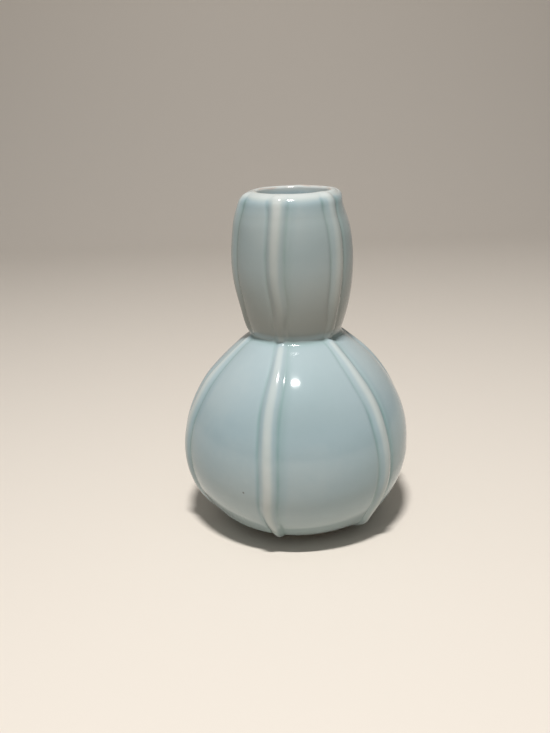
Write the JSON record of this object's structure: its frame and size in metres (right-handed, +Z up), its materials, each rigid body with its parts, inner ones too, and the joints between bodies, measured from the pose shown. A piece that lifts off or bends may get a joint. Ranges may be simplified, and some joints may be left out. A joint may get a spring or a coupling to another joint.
{
  "type": "gourd vase",
  "caption": "Double-gourd vase for flowers: a full round lower bulb, a slimmer upper bulb with an open mouth, raised upright ribs on both, and a low foot ring.",
  "frame": {"origin": "centre of the foot ring's underside, at the bottom centre of the vase", "axes": "+Z up along the vase's own axis; -Y points through the middle of rib 1, so the vase is alike on both sides of the YZ plane"},
  "size_m": [0.108, 0.1108, 0.16],
  "materials": {
    "celadon_glaze": "pale blue-green celadon glaze, glossy, deeper where it pools",
    "rib_glaze": "the same glaze, thin and paler over the raised ribs, glossy",
    "bare_biscuit": "unglazed fired clay, matt, pale tan"
  },
  "bodies": {
    "root": {"foot_ring": "bare_biscuit", "lower_bulb": "celadon_glaze", "upper_bulb": "celadon_glaze", "lower_rib_1": "rib_glaze", "lower_rib_2": "rib_glaze", "lower_rib_3": "rib_glaze", "lower_rib_4": "rib_glaze", "lower_rib_5": "rib_glaze", "lower_rib_6": "rib_glaze", "upper_rib_1": "rib_glaze", "upper_rib_2": "rib_glaze", "upper_rib_3": "rib_glaze", "upper_rib_4": "rib_glaze", "upper_rib_5": "rib_glaze", "upper_rib_6": "rib_glaze"}
  },
  "joints": []
}
